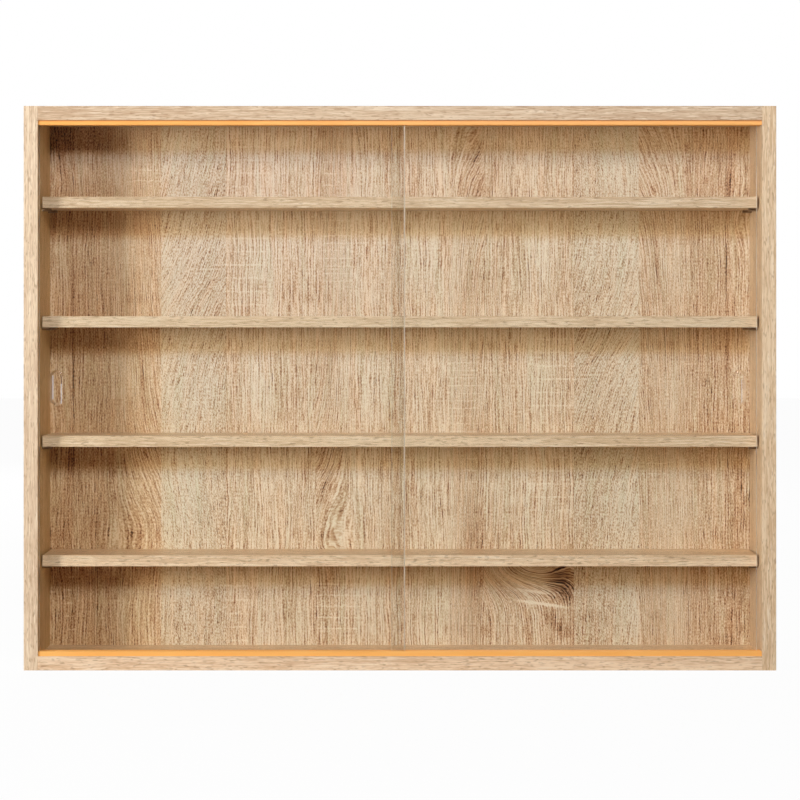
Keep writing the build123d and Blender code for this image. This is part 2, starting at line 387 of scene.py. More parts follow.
    def mix(self, amount: Number, below: Colour, above: Colour, blend: str = "MIX") -> Field:
        """Blends two colours.

        Args:
            amount: The share of the upper colour.
            below: The colour underneath.
            above: The colour on top.
            blend: How the upper colour acts on the lower one.

        Returns:
            The blended colour.
        """
        inputs = {MIX_AMOUNT: amount, MIX_BELOW: below, MIX_ABOVE: above}
        node = self.add("ShaderNodeMix", inputs, data_type="RGBA", blend_type=blend)
        return Field(self, node.outputs[MIX_RESULT])

    def cast(self, amount: Number, colour: Field, tint: Colour) -> Field:
        """A colour with another one multiplied into it by the given amount."""
        return self.mix(amount, colour, tint, blend="MULTIPLY")

    def bump(self, relief: Field, strength: float) -> Field:
        """A normal that follows a relief in millimetres, as far as the strength says."""
        node = self.add("ShaderNodeBump", {"Strength": strength, "Distance": MM, "Height": relief})
        return Field(self, node.outputs[0])

    def surface(self, **inputs: Colour | float) -> Node:
        """A Principled shader.

        Args:
            **inputs: Its inputs by name, in lower case with underscores.

        Returns:
            The shader's node.
        """
        short = {"ior": "IOR", "specular": "Specular IOR Level"}
        titles = {short.get(name, name.replace("_", " ").title()): value for name, value in inputs.items()}
        return self.add("ShaderNodeBsdfPrincipled", titles)

    def blend(self, share: Field, first: Node, second: Node) -> Node:
        """The first shader with the given share of the second one."""
        return self.add("ShaderNodeMixShader", {0: share, 1: first, 2: second})


class Sheet(Nodes):
    """The nodes of one material, with a seed for its patterns that comes from its name."""

    def __init__(self, name: str) -> None:
        """Starts an empty material.

        Args:
            name: The name of the material.
        """
        self.material = bpy.data.materials.new(name)
        self.material.use_nodes = True
        self.seed = float(sum(map(ord, name)) % SEEDS)
        super().__init__(self.material.node_tree)

    def done(self, shader: Node) -> Material:
        """Ends the sheet with its shader and gives the material."""
        self.add("ShaderNodeOutputMaterial", {"Surface": shader})
        return self.material

    def coat(self, relief: Field, strength: float, **inputs: Colour | float) -> Material:
        """Ends the sheet with a Principled shader over a relief.

        Args:
            relief: The relief in millimetres.
            strength: How much of it shows.
            **inputs: The shader's other inputs by name, in lower case with underscores.

        Returns:
            The material.
        """
        return self.done(self.surface(normal=self.bump(relief, strength), **inputs))


def oval(across: Field, up: Field, half_width: float, half_height: float) -> Field:
    """1 where both values are 0, and softly less away from there, in the shape of an oval."""
    return ((across / half_width).squared() + (up / half_height).squared()).fading()


@dataclass(frozen=True)
class RawChipboard:
    """The bare edge of a board: pressed chips of mixed tones with small gaps between them."""

    chip: Spot = (2.6, 1.17, 1.17)
    haze: Noise = Noise((9.0, 9.0, 9.0), 0.25)
    gap_edge: Span = (0.45, 0.8)
    gap_depth: float = 0.12
    tones: Stops = (
        (0.0, Tint(142, 104, 68)),
        (0.45, Tint(190, 152, 108)),
        (1.0, Tint(222, 190, 146)),
    )

    def layer(self, sheet: Sheet) -> tuple[Field, Field]:
        """Draws the chips.

        Args:
            sheet: The sheet to draw on.

        Returns:
            The colour, and the depth of the gaps in millimetres.
        """
        place = sheet.place()
        distance, tone = sheet.dots(place, self.chip)
        colour = sheet.ramp(tone + self.haze.strength * sheet.noise(place, self.haze), self.tones)
        return colour, -self.gap_depth * distance.eased(*self.gap_edge)


@dataclass(frozen=True)
class OakFoil:
    """Light oak foil on the case boards, the shelves and the edge bands.

    The first size in each of its patterns runs with the grain.
    """

    name: str
    grain: Grain
    ground: Tint
    streak: Tint
    bare: tuple[Bare, ...] = ()
    inner_shade_cast: Tint | None = None
    matt: float = 0.46
    dash_cell: Spot = (12.0, 1.4, 1.4)
    dash: Tint = Tint(158, 122, 88)
    dash_share: float = 0.58
    dash_depth: float = 0.05
    speck_share: float = 0.5
    pale: Tint = Tint(244, 226, 202)
    pale_edge: Span = (0.2, 0.9)
    pale_share: float = 0.5
    tone: float = 0.55
    gloss: float = 0.35
    dash_matt: float = 0.1
    fine_shine: float = 0.05
    fine_relief: float = 0.02
    relief_share: float = 0.6
    sway: Noise = Noise((60.0, 16.0, 16.0), 1.8, 1.0)
    broad: Noise = Noise((110.0, 4.0, 4.0), 0.4, 1.0)
    lines: Noise = Noise((45.0, 1.4, 1.4), 1.0, 1.0)
    fine: Noise = Noise((14.0, 0.8, 0.8), 1.1, 1.0)
    wide: Noise = Noise((300.0, 11.0, 11.0), 0.5, 0.0)
    hair: Noise = Noise((24.0, 1.9, 1.9), 1.0, 1.0)
    hair_edge: Span = (0.15, 0.03)
    broken: Noise = Noise((7.0, 2.0, 2.0), 1.0, 1.0)
    broken_edge: Span = (-0.05, 0.3)

    def along_and_across(self, sheet: Sheet) -> tuple[Field, Field, Field]:
        """The place on the piece, turned so that the first value runs with the grain."""
        x, y, z = sheet.place()
        return {Grain.ALONG: (x, y, z), Grain.DEEP: (y, x, z), Grain.UPRIGHT: (z, y, x)}[self.grain]

    def raw_share(self, sheet: Sheet) -> Field:
        """Finds the faces that have no foil.

        Args:
            sheet: The sheet to draw on.

        Returns:
            1 on those faces and 0 elsewhere.
        """
        x, y, z = sheet.facing()
        faces = {Bare.ENDS: abs(x), Bare.REAR: y, Bare.UNDER: -z}
        return reduce(Field.at_least, [faces[face].above(SQUARE_ON) for face in self.bare])

    def material(self) -> Material:
        """Makes the foil, with bare chipboard on the faces that have none.

        Returns:
            The material.
        """
        sheet = Sheet(self.name)
        along, side, depth = self.along_and_across(sheet)
        sway = sheet.noise((along, side, depth), self.sway, sheet.seed)
        place = (along, side + self.sway.strength * sway, depth + self.sway.strength * sway)
        broad = sheet.noise(place, self.broad, sheet.seed)
        lines = sheet.noise(place, self.lines, sheet.seed)
        fine = sheet.noise(place, self.fine)
        wide = sheet.noise((along, side, depth), self.wide, sheet.seed)
        hair = abs(sheet.noise(place, self.hair, sheet.seed)).eased(*self.hair_edge)
        broken = sheet.noise(place, self.broken, -sheet.seed).eased(*self.broken_edge)
        specks = sheet.specks(place, Specks(self.dash_cell))
        dashes = (specks * self.speck_share).at_least(hair * broken)
        tone = self.tone + self.broad.strength * broad + self.lines.strength * lines
        tone = tone + self.fine.strength * fine + self.wide.strength * wide
        colour = sheet.mix(tone.eased(), self.streak, self.ground)
        colour = sheet.mix((fine + broad + lines).eased(*self.pale_edge) * self.pale_share, colour, self.pale)
        colour = sheet.mix(dashes * self.dash_share, colour, self.dash)
        relief = self.fine_relief * fine - self.dash_depth * dashes
        # Painted shade: a darker, warmer cast on the faces towards +X, such as the left board's inner face.
        if self.inner_shade_cast:
            colour = sheet.cast(sheet.facing()[0].above(SQUARE_ON), colour, self.inner_shade_cast)
        if self.bare:
            raw = self.raw_share(sheet)
            chips, gaps = RawChipboard().layer(sheet)
            colour = sheet.mix(raw, colour, chips)
            relief = relief + raw * (gaps - relief)
        roughness = self.matt + self.dash_matt * dashes - self.fine_shine * fine
        return sheet.coat(
            relief, self.relief_share, base_color=colour, roughness=roughness, specular=self.gloss
        )


@dataclass(frozen=True)
class Lean:
    """Grain lines that leave the upright towards one side of a plank, in millimetres.

    The lines at one place across stay as they are, and from the other place on they take the full shift,
    which is given at several heights.
    """

    still: float
    full: float
    plank: Span
    shifts: tuple[Span, ...]


@dataclass(frozen=True)
class Bow:
    """A place where the grain lines bend round an oval heart, within one plank, in millimetres."""

    across: float
    height: float
    half_width: float
    half_height: float
    lift: float
    plank: Span
    begins: float = 0.0


@dataclass(frozen=True)
class Patch:
    """A soft darker or paler place in one plank, which may slant; a negative change darkens."""

    across: float
    height: float
    half_width: float
    half_height: float
    slant: float
    change: float
    plank: Span = (0.0, 390.0)


@dataclass(frozen=True)
class SawMarks:
    """Pale rows that a saw left across the grain, counted up from the first."""

    across: float
    half_width: float
    first: float
    pitch: float
    rows: int
    strength: float


PLANK_E = (0.0, 92.5)
PLANK_D = (92.5, 191.5)
PLANK_C = (191.5, 262.7)
PLANK_B = (262.7, 357.5)
PLANK_A = (357.5, 390.0)

PLANK_TONES = (
    *((0.0, 0.57), (14.0, 0.6), (38.0, 0.66), (60.0, 0.64), (80.0, 0.57)),
    *((100.0, 0.595), (122.0, 0.6), (146.0, 0.67), (172.0, 0.595), (191.0, 0.58)),
    *((214.0, 0.6), (236.0, 0.64), (262.0, 0.7)),
    *((264.0, 0.53), (286.0, 0.54), (304.0, 0.58), (326.0, 0.47), (348.0, 0.49)),
    *((366.0, 0.53), (390.0, 0.57)),
)
LEANS = (
    Lean(185.0, 191.0, PLANK_C, (
        *((0.0, -50.0), (120.0, -48.0), (236.0, -56.0), (364.0, -38.0)),
        *((430.0, -10.0), (500.0, 8.0), (585.0, 22.0), (730.0, 30.0)),
    )),
    Lean(328.0, 262.0, PLANK_B, (
        *((0.0, 4.0), (104.0, 6.0), (122.0, 26.0), (180.0, 14.0)),
        *((236.0, -4.0), (300.0, -20.0), (364.0, -27.0)),
    )),
    Lean(48.0, 92.0, PLANK_E, (
        *((0.0, -4.0), (104.0, -6.0), (125.0, -25.0), (175.0, -18.0)),
        *((236.0, 3.0), (300.0, 19.0), (364.0, 25.0)),
    )),
)
BOWS = (
    Bow(136.0, 634.0, 44.0, 26.0, 80.0, PLANK_D, begins=636.0),
    Bow(364.0, 520.0, 9.0, 22.0, 4.5, PLANK_A),
    Bow(372.0, 262.0, 9.0, 20.0, 4.0, PLANK_A),
)
PATCHES = (
    Patch(361.0, 430.0, 2.6, 75.0, 0.01, -0.17, PLANK_A),
    Patch(359.4, 306.0, 1.3, 75.0, 0.0, -0.24),
    Patch(361.0, 212.0, 4.5, 30.0, -0.05, -0.2, PLANK_A),
    Patch(374.0, 570.0, 16.0, 60.0, 0.0, -0.12, PLANK_A),
    Patch(371.0, 690.0, 17.0, 60.0, 0.0, -0.1, PLANK_A),
    Patch(256.0, 482.0, 0.9, 10.0, -0.2, -0.3, PLANK_C),
    Patch(250.0, 474.0, 0.9, 12.0, -0.25, -0.3, PLANK_C),
    Patch(239.0, 486.0, 0.8, 9.0, -0.2, -0.25, PLANK_C),
    Patch(80.0, 200.0, 6.0, 42.0, -0.35, -0.2, PLANK_E),
    Patch(90.0, 222.0, 9.0, 24.0, 0.0, -0.1, PLANK_E),
    Patch(65.5, 166.0, 4.0, 30.0, -0.14, -0.12, PLANK_E),
    Patch(85.0, 84.0, 13.0, 28.0, 0.0, -0.13, PLANK_E),
    Patch(82.0, 620.0, 15.0, 120.0, 0.0, -0.14, PLANK_E),
    Patch(178.0, 650.0, 15.0, 18.0, 0.0, -0.42, PLANK_D),
    Patch(182.0, 672.0, 14.0, 11.0, 0.0, -0.24, PLANK_D),
    Patch(140.0, 655.0, 34.0, 22.0, 0.0, -0.13, PLANK_D),
    Patch(175.0, 706.0, 9.0, 18.0, 0.7, -0.25, PLANK_D),
    Patch(188.0, 698.0, 3.0, 18.0, 0.05, -0.16, PLANK_D),
    Patch(148.0, 667.0, 8.0, 2.4, 5.0, 0.6, PLANK_D),
    Patch(157.0, 680.5, 9.0, 3.6, 6.0, 0.75, PLANK_D),
    Patch(314.0, 204.5, 2.4, 3.2, 0.0, -0.24),
    Patch(122.0, 440.0, 10.0, 50.0, 0.0, -0.04, PLANK_D),
    Patch(310.0, 615.0, 60.0, 110.0, 0.0, 0.07, PLANK_B),
    Patch(373.0, 120.0, 17.0, 100.0, 0.0, -0.13, PLANK_A),
    Patch(227.0, 180.0, 60.0, 130.0, 0.0, 0.05, PLANK_C),
    Patch(140.0, 690.0, 60.0, 60.0, 0.0, -0.05, PLANK_D),
    Patch(74.0, 310.0, 16.0, 50.0, 0.0, -0.04, PLANK_E),
)
SAW_MARKS = (
    SawMarks(279.0, 17.0, 525.5, 11.6, 2, 0.7),
    SawMarks(166.5, 23.5, 519.5, 14.5, 5, 0.6),
    SawMarks(77.0, 8.0, 521.0, 12.7, 3, 0.6),
    SawMarks(170.0, 24.0, 389.0, 14.7, 6, 0.8),
    SawMarks(69.5, 17.5, 415.0, 8.4, 10, 0.8),
    SawMarks(182.0, 8.0, 190.0, 12.0, 3, 0.5),
    SawMarks(372.0, 12.0, 143.0, 12.0, 2, 0.5),
    SawMarks(179.0, 13.0, 19.5, 15.0, 5, 0.7),
    SawMarks(68.0, 25.0, 33.0, 12.2, 5, 0.9),
    SawMarks(364.0, 6.0, 32.0, 14.4, 5, 0.7),
)


@dataclass(frozen=True)
class OakPrint:
    """The printed planks on one half of the back.

    Places in the print are measured across from the middle seam and up from the floor on the left half.
    The right half carries the same print turned upside down.
    """

    name: str
    turned: bool
    turn_height: float = 740.5
    width: float = 390.0
    length: float = 730.0

    soft: Noise = Noise((34.0, 95.0), 4.0, 1.0)
    fret: Noise = Noise((6.0, 17.0), 0.9, 1.0, 3.0)
    lean_reach: float = 60.0
    heart: float = 0.25
    ring_pitch: float = 7.2
    ring_sway: float = 3.0
    ring_edge: Span = (0.8, 0.99)
    ring_share: float = 0.14

    cloud: Noise = Noise((24.0, 60.0), 0.16, 1.0, 7.0)
    bands: Noise = Noise((6.0, 150.0), 0.14, 1.0, 11.0)
    lines: Noise = Noise((1.4, 85.0), 0.85, 1.0, 17.0)
    brush: Noise = Noise((0.95, 13.0), 0.52, 0.0, 19.0)
    wander: Noise = Noise((9.0, 70.0), 5.0, 0.0, 13.0)
    stripe_pitch: float = 3.3
    stripe_share: float = 0.14
    crinkle: Noise = Noise((1.05, 2.4), 0.5, 1.0, 23.0)
    hue: Noise = Noise((8.0, 120.0), 0.5, 1.0, 61.0)
    pores: Specks = Specks((1.8, 24.0), (0.38, 0.12), (0.55, 0.75), 29.0)
    pore_share: float = 0.26

    limed_pores: Specks = Specks((1.7, 7.0), (0.42, 0.14), (0.45, 0.7), 31.0)
    limed_pore_share: float = 0.3
    limed_slant: float = 0.25
    limed_line_drop: float = 0.35
    limed_stripe_drop: float = 0.7
    limed_crinkle: float = 0.18
    limed_cast: Tint = Tint(250, 253, 255)

    waver: Noise = Noise((14.0, 30.0), 1.4, 1.0, 41.0)
    saw_edge: Span = (0.30, 0.06)
    saw_rows_end: Span = (1.0, -3.0)
    saw_side_end: Span = (1.2, 0.75)
    worn: Noise = Noise((2.6, 6.0), 1.0, 2.0, 53.0)
    worn_edge: Span = (-0.4, 0.3)
    sawn_share: float = 0.36

    roughness: float = 0.5
    gloss: float = 0.3
    line_shine: float = 0.04
    line_relief: float = 0.03
    pore_relief: float = 0.08
    relief_share: float = 0.5

    # Painted shade: warmer, deeper coloured strips right under the top board and each shelf.
    ledges: tuple[float, ...] = (585.0, 492.5, 364.5, 236.5, 108.5)
    ledge_half: float = 8.0
    shade_height: float = 30.0
    shade_edge: Span = (-6.0, 8.0)
    shade_lift: float = 0.05
    shade_cast: Tint = Tint(255, 240, 212)
    # Painted light: a paler, cooler tone towards the top and the left.
    light_rise: Span = (100.0, 600.0)
    light_side: Span = (120.0, -120.0)
    light_side_share: float = 0.6
    light_lift: float = 0.03
    light_cast: Tint = Tint(246, 246, 255)
    # Painted shade at the left, where the left board shades the back: darker strips and a warmer cast, and a
    # painted shadow darkest in the top left corner.
    left_side: Span = (-225.0, -300.0)
    left_shade_drop: float = 0.16
    left_rise: Span = (595.0, 500.0)
    left_share: float = 0.85
    left_shade_cast: Tint = Tint(255, 243, 222)
    corner_rise: Span = (545.0, 560.0)
    corner_side: Span = (-290.0, -325.0)
    corner_shadow_drop: float = 0.17

    fibre: Noise = Noise((1.6, 1.6, 1.6), 0.5, 3.0, rough=0.65)
    fibre_relief: float = 0.06
    bare_cloud: float = 0.1
    bare_matt: float = 0.3
    bare_tones: Stops = ((0.0, Tint(104, 76, 50)), (1.0, Tint(158, 124, 88)))
    hue_casts: Stops = (
        (0.2, Tint(243, 246, 240)),
        (0.5, Tint(250, 249, 248)),
        (0.8, Tint(255, 247, 240)),
    )
    wood_tones: Stops = (
        (0.0, Tint(52, 31, 20)),
        (0.1, Tint(113, 76, 50)),
        (0.2, Tint(152, 112, 79)),
        (0.3, Tint(181, 140, 104)),
        (0.4, Tint(198, 164, 128)),
        (0.5, Tint(212, 183, 150)),
        (0.6, Tint(223, 200, 168)),
        (0.7, Tint(233, 215, 186)),
        (0.85, Tint(243, 231, 208)),
    )

    def print_place(self, sheet: Sheet) -> tuple[Field, Field]:
        """The place in the print: across from the seam, and up."""
        x, _, z = sheet.place()
        return (x, self.turn_height - z) if self.turned else (-x, z)

    def grain_place(self, sheet: Sheet, place: Place) -> tuple[Field, Field]:
        """The place across the grain, which follows its bows, its lean and its wander.

        Args:
            sheet: The sheet to draw on.
            place: Places across and up the print.

        Returns:
            A value that stays the same along a grain line, and how strongly the bows show there.
        """
        across, up = place
        grain = across
        for layer in (self.soft, self.fret):
            grain = grain + layer.strength * sheet.noise(place, layer, sheet.seed)
        for lean in LEANS:
            points = [(at, 0.5 + shift / self.lean_reach / 2.0) for at, shift in lean.shifts]
            shift = 2.0 * self.lean_reach * sheet.curve(up, self.length, points) - self.lean_reach
            grain = shift * across.eased(lean.still, lean.full) * across.within(lean.plank) + grain
        figure: Number = 0.0
        for bow in BOWS:
            share = oval(across - bow.across, up - bow.height, bow.half_width, bow.half_height)
            share = share * across.within(bow.plank) * up.above(bow.begins)
            grain = share * bow.lift + grain
            figure = share.at_most(self.heart) * (1.0 / self.heart) + figure
        return grain, figure

    def patched(self, place: Place) -> Field:
        """Draws the darker and paler places.

        Args:
            place: Places across and up the print.

        Returns:
            The change of tone.
        """
        across, up = place
        total: Number = 0.0
        for patch in PATCHES:
            away = up - patch.height
            left_shade = across - patch.across - patch.slant * away
            soft = oval(left_shade, away, patch.half_width, patch.half_height) * patch.change
            total = soft * across.within(patch.plank) + total
        return total

    def sawn(self, sheet: Sheet, place: Place) -> Field:
        """Draws the pale rows that a saw left.

        Args:
            sheet: The sheet to draw on.
            place: Places across and up the print.

        Returns:
            The strength of the rows, from 0 to 1.
        """
        across, up = place
        waver = self.waver.strength * sheet.noise(place, self.waver)
        total: Number = 0.0
        for marks in SAW_MARKS:
            turn = (up + waver - marks.first) * (math.pi / marks.pitch)
            line = abs(turn.sine()).eased(*self.saw_edge)
            middle = marks.first + (marks.rows - 1) * marks.pitch / 2
            reach = marks.rows * marks.pitch / 2
            near = abs(up - middle).eased(*(reach + more for more in self.saw_rows_end))
            wide = abs(across - marks.across).eased(*(marks.half_width * end for end in self.saw_side_end))
            total = near * wide * line * marks.strength + total
        return total * sheet.noise(place, self.worn).eased(*self.worn_edge)

    def level(self, sheet: Sheet, across: Field) -> tuple[Field, list[tuple[Field, Tint]]]:
        """Draws the broad tones: the planks, with painted shade in strips under the ledges and at the left,
        and painted light towards the top and the left.

        Args:
            sheet: The sheet to draw on.
            across: Place across the print.

        Returns:
            The tone, and the share of each cast that goes with it.
        """
        x, _, z = sheet.place()
        # Painted light: a paler, cooler tone towards the top and the left.
        painted_light = (1.0 - self.light_side_share) + self.light_side_share * x.eased(*self.light_side)
        painted_light = z.eased(*self.light_rise) * painted_light
        # Painted shade: strips right under the top board and each shelf.
        shade_strips: Number = 0.0
        for ledge in self.ledges:
            shade_strip = (z - (ledge - self.shade_height)).eased(*self.shade_edge)
            shade_strips = shade_strip * (1.0 - z.above(ledge + self.ledge_half)) + shade_strips
        # Painted shade at the left, and a painted shadow in the top left corner.
        left = x.eased(*self.left_side)
        tone = sheet.curve(across, self.width, PLANK_TONES) + self.light_lift * painted_light
        tone = tone + self.shade_lift * shade_strips - self.left_shade_drop * shade_strips * left
        tone = tone - self.corner_shadow_drop * shade_strips * z.eased(*self.corner_rise) * x.eased(*self.corner_side)
        left_shade = left * z.eased(*self.left_rise) * self.left_share
        return tone, [(painted_light, self.light_cast), (shade_strips, self.shade_cast), (left_shade, self.left_shade_cast)]

    def streaks(self, sheet: Sheet, place: Place, limed: Field) -> tuple[Field, Field, Field]:
        """Draws the lines that run with the grain.

        Args:
            sheet: The sheet to draw on.
            place: Places across the grain and up the print.
            limed: 1 on the limed plank and 0 on the others.

        Returns:
            The change of tone, as a share of it, and the noise of its clouds and of its fine lines.
        """
        layers = (self.cloud, self.bands, self.lines, self.brush, self.wander)
        cloud, bands, lines, brush, wander = (sheet.noise(place, layer) for layer in layers)
        stripes = (place[0] * (TURN / self.stripe_pitch) + self.wander.strength * wander).sine()
        stripes = stripes * (1.0 - self.limed_stripe_drop * limed)
        total = self.cloud.strength * cloud + self.bands.strength * bands
        total = total + (self.lines.strength - self.limed_line_drop * limed) * lines
        return total + self.brush.strength * brush + self.stripe_share * stripes, cloud, lines

    def material(self) -> Material:
        """Makes the print on the front, and bare fibreboard behind and on the edges.

        Returns:
            The material.
        """
        sheet = Sheet(self.name)
        across, up = self.print_place(sheet)
        grain, figure = self.grain_place(sheet, (across, up))
        place, limed = (grain, up), across.within(PLANK_C)
        streaks, cloud, lines = self.streaks(sheet, place, limed)
        crinkle = sheet.noise((grain - self.limed_slant * limed * up, up), self.crinkle)
        rings = (grain * (TURN / self.ring_pitch) + self.ring_sway * cloud).sine().eased(*self.ring_edge)
        pores = sheet.specks(place, self.pores)
        limed_pores = sheet.specks(place, self.limed_pores) * limed
        tone, casts = self.level(sheet, across)
        tone = tone * (1.0 + streaks) + (self.crinkle.strength + self.limed_crinkle * limed) * crinkle
        tone = tone + self.patched((across, up)) + self.ring_share * (rings * figure)
        tone = tone - self.pore_share * pores - self.limed_pore_share * limed_pores
        tone = tone + self.sawn_share * self.sawn(sheet, (across, up))
        tinge = sheet.ramp(0.5 + self.hue.strength * sheet.noise(place, self.hue), self.hue_casts)
        colour = sheet.cast(1.0, sheet.ramp(tone, self.wood_tones), tinge)
        for share, cast in [(limed, self.limed_cast), *casts]:
            colour = sheet.cast(share, colour, cast)
        behind = 1.0 - (-sheet.facing()[1]).above(SQUARE_ON)
        fibre = sheet.noise(sheet.place(), self.fibre)
        bare = sheet.ramp(0.5 + self.fibre.strength * fibre + self.bare_cloud * cloud, self.bare_tones)
        relief = self.line_relief * lines - self.pore_relief * (pores + limed_pores)
        relief = relief * (1.0 - behind) + self.fibre_relief * fibre * behind
        roughness = self.roughness + self.bare_matt * behind - self.line_shine * lines
        colour = sheet.mix(behind, colour, bare)
        return sheet.coat(
            relief, self.relief_share, base_color=colour, roughness=roughness, specular=self.gloss
        )


@dataclass(frozen=True)
class Layer:
    """A layer of soft noise in a plain finish, with what it adds at its strongest."""

    noise: Noise
    tone: float = 0.0
    roughness: float = 0.0
    relief: float = 0.0


@dataclass(frozen=True)
class PlainFinish:
    """A finish of two colours, for a low and a high tone, that layers of noise mix.

    The layers also make its roughness and its relief uneven, the relief in millimetres.
    """

    name: str
    low: Tint
    high: Tint
    layers: tuple[Layer, ...]
    tone: float = 0.5
    full_tone: float = 1.0
    flecks: Specks | None = None
    # Painted shadow: a darker tint above a given height, for the shade under an overhang.
    shadow_rim: Tint | None = None
    shadow_rim_rise: Span = (583.0, 584.4)
    shadow_rim_share: float = 0.8
    relief_share: float = 0.5
    roughness: float = 0.5
    specular: float = 0.5
    metallic: float = 0.0

    def material(self) -> Material:
        """Makes the finish.

        Returns:
            The material.
        """
        sheet = Sheet(self.name)
        place = sheet.place()
        tone, roughness, relief = self.tone, self.roughness, 0.0
        for layer in self.layers:
            noise = sheet.noise(place, layer.noise)
            tone = layer.tone * noise + tone
            roughness = layer.roughness * noise + roughness
            relief = layer.relief * noise + relief
        if self.flecks:
            tone = tone + sheet.specks(place, self.flecks)
        colour = sheet.mix(tone.eased(0.0, self.full_tone), self.low, self.high)
        # Painted shadow along the top edge.
        if self.shadow_rim:
            colour = sheet.mix(place[2].eased(*self.shadow_rim_rise) * self.shadow_rim_share, colour, self.shadow_rim)
        return sheet.coat(
            relief,
            self.relief_share,
            base_color=colour,
            roughness=roughness,
            specular=self.specular,
            metallic=self.metallic,
        )


@dataclass(frozen=True)
class TrackPlastic(PlainFinish):
    """Orange extruded plastic with faint draw lines along its length, and where given a painted shadow along
    its top edge.
    """

    layers: tuple[Layer, ...] = (
        Layer(Noise((45.0, 6.0, 6.0)), tone=0.5, roughness=0.06),
        Layer(Noise((160.0, 0.35, 0.35), detail=1.0), tone=0.2, relief=0.01),
    )
    roughness: float = 0.36
    specular: float = 0.45


@dataclass(frozen=True)
class GroundAndGlintGlass(PlainFinish):
    """Pale matt glass for narrow strips: the ground arris that the grinding wheel left matt, and the painted
    highlights in the finger recesses.
    """

    layers: tuple[Layer, ...] = (
        Layer(Noise((3.0, 3.0, 7.0)), tone=0.5),
        Layer(Noise((0.4, 0.4, 1.6)), tone=0.4, roughness=0.1, relief=0.02),
    )
    relief_share: float = 0.4
    roughness: float = 0.42


@dataclass(frozen=True)
class PlatedSteel(PlainFinish):
    """Zinc plated or turned steel, brushed from side to side."""

    low: Tint = Tint(150, 149, 145)
    high: Tint = Tint(184, 184, 180)
    layers: tuple[Layer, ...] = (
        Layer(Noise((24.0, 0.3, 0.3)), roughness=0.08, relief=0.008),
        Layer(Noise((5.0, 5.0, 5.0)), tone=0.5, roughness=0.06),
    )
    roughness: float = 0.34
    metallic: float = 1.0


@dataclass(frozen=True)
class CapPlastic(PlainFinish):
    """Oak toned moulded plastic of the screw caps, with a printed hint of grain."""

    name: str = "oak_toned_plastic"
    low: Tint = Tint(214, 184, 148)
    high: Tint = Tint(188, 154, 116)
    layers: tuple[Layer, ...] = (
        Layer(Noise((0.8, 0.8, 9.0)), tone=1.0),
        Layer(Noise((0.25, 0.25, 0.25)), roughness=0.05, relief=0.01),
    )
    tone: float = 0.0
    full_tone: float = 0.7
    relief_share: float = 1.0
    roughness: float = 0.42


@dataclass(frozen=True)
class Beech(PlainFinish):
    """Plain beech of the dowels, with its grain along the dowel and short flecks."""

    name: str = "plain_beech"
    low: Tint = Tint(216, 178, 132)
    high: Tint = Tint(180, 136, 92)
    layers: tuple[Layer, ...] = (Layer(Noise((14.0, 0.7, 0.7)), tone=0.5, roughness=0.05, relief=0.03),)
    tone: float = 0.0
    flecks: Specks | None = Specks((3.0, 0.7, 0.7), (0.4, 0.15))
    relief_share: float = 1.0
    roughness: float = 0.6


@dataclass(frozen=True)
class JointTape(PlainFinish):
    """Brown paper tape with long fibres."""

    name: str = "paper_tape"
    low: Tint = Tint(172, 138, 100)
    high: Tint = Tint(140, 106, 72)
    layers: tuple[Layer, ...] = (
        Layer(Noise((14.0, 14.0, 22.0)), relief=0.1),
        Layer(Noise((0.7, 2.0, 9.0), detail=3.0, rough=0.6), tone=0.7, roughness=0.05, relief=0.02),
    )
    tone: float = 0.4
    relief_share: float = 0.6
    roughness: float = 0.72
    specular: float = 0.2


@dataclass(frozen=True)
class PaneGlass:
    """Clear toughened glass: polished faces with a polished finger recess, and ground edges."""

    name: str
    tint: Tint = Tint(254, 254, 253)
    edge: Tint = Tint(208, 206, 190)
    passed: Tint = Tint(248, 248, 247)
    ground_facing: Span = (0.86, 0.76)
    ground_roughness: float = 0.34
    grit: Noise = Noise((0.6, 0.6, 0.6), 0.08)
    refraction: float = 1.5

    def material(self) -> Material:
        """Makes the glass, which lets light from the lamps through to what is behind it.

        Returns:
            The material.
        """
        sheet = Sheet(self.name)
        ground = abs(sheet.facing()[1]).eased(*self.ground_facing)
        grit = self.grit.strength * sheet.noise(sheet.place(), self.grit)
        glass = sheet.surface(
            base_color=sheet.mix(ground, self.tint, self.edge),
            roughness=ground * (self.ground_roughness + grit),
            ior=self.refraction,
            transmission_weight=1.0,
        )
        clear = sheet.add("ShaderNodeBsdfTransparent", {"Color": self.passed})
        return sheet.done(sheet.blend(sheet.rays("Shadow", "Diffuse"), glass, clear))


@dataclass(frozen=True)
class FloorWhite:
    """Pale floor paint that is white to the eye and keeps a soft shadow."""

    paint: Tint = Tint(238, 238, 238)
    seen: Tint = Tint(255, 255, 255)
    seen_share: float = 0.97
    roughness: float = 0.9
    gloss: float = 0.1

    def material(self) -> Material:
        """Makes the paint.

        Returns:
            The material.
        """
        sheet = Sheet("floor_white")
        matt = sheet.surface(base_color=self.paint, roughness=self.roughness, specular=self.gloss)
        glow = sheet.add("ShaderNodeEmission", {"Color": self.seen})
        share = self.seen_share * sheet.rays("Camera", "Glossy", "Transmission")
        return sheet.done(sheet.blend(share, matt, glow))


def dress(nodes: dict[str, Object], names: Sequence[str], material: Material) -> None:
    """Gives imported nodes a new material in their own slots.

    Args:
        nodes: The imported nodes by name.
        names: The nodes to dress.
        material: The material.
    """
    for name in names:
        for slot in nodes[name].material_slots:
            slot.material = material
        LOG.info("dressed %s with %s", name, material.name)


def add_object(name: str, data: ID) -> Object:
    """Adds an object to the scene.

    Args:
        name: Its name.
        data: The mesh, lamp or camera that it shows.

    Returns:
        The object.
    """
    piece = bpy.data.objects.new(name, data)
    bpy.context.scene.collection.objects.link(piece)
    return piece


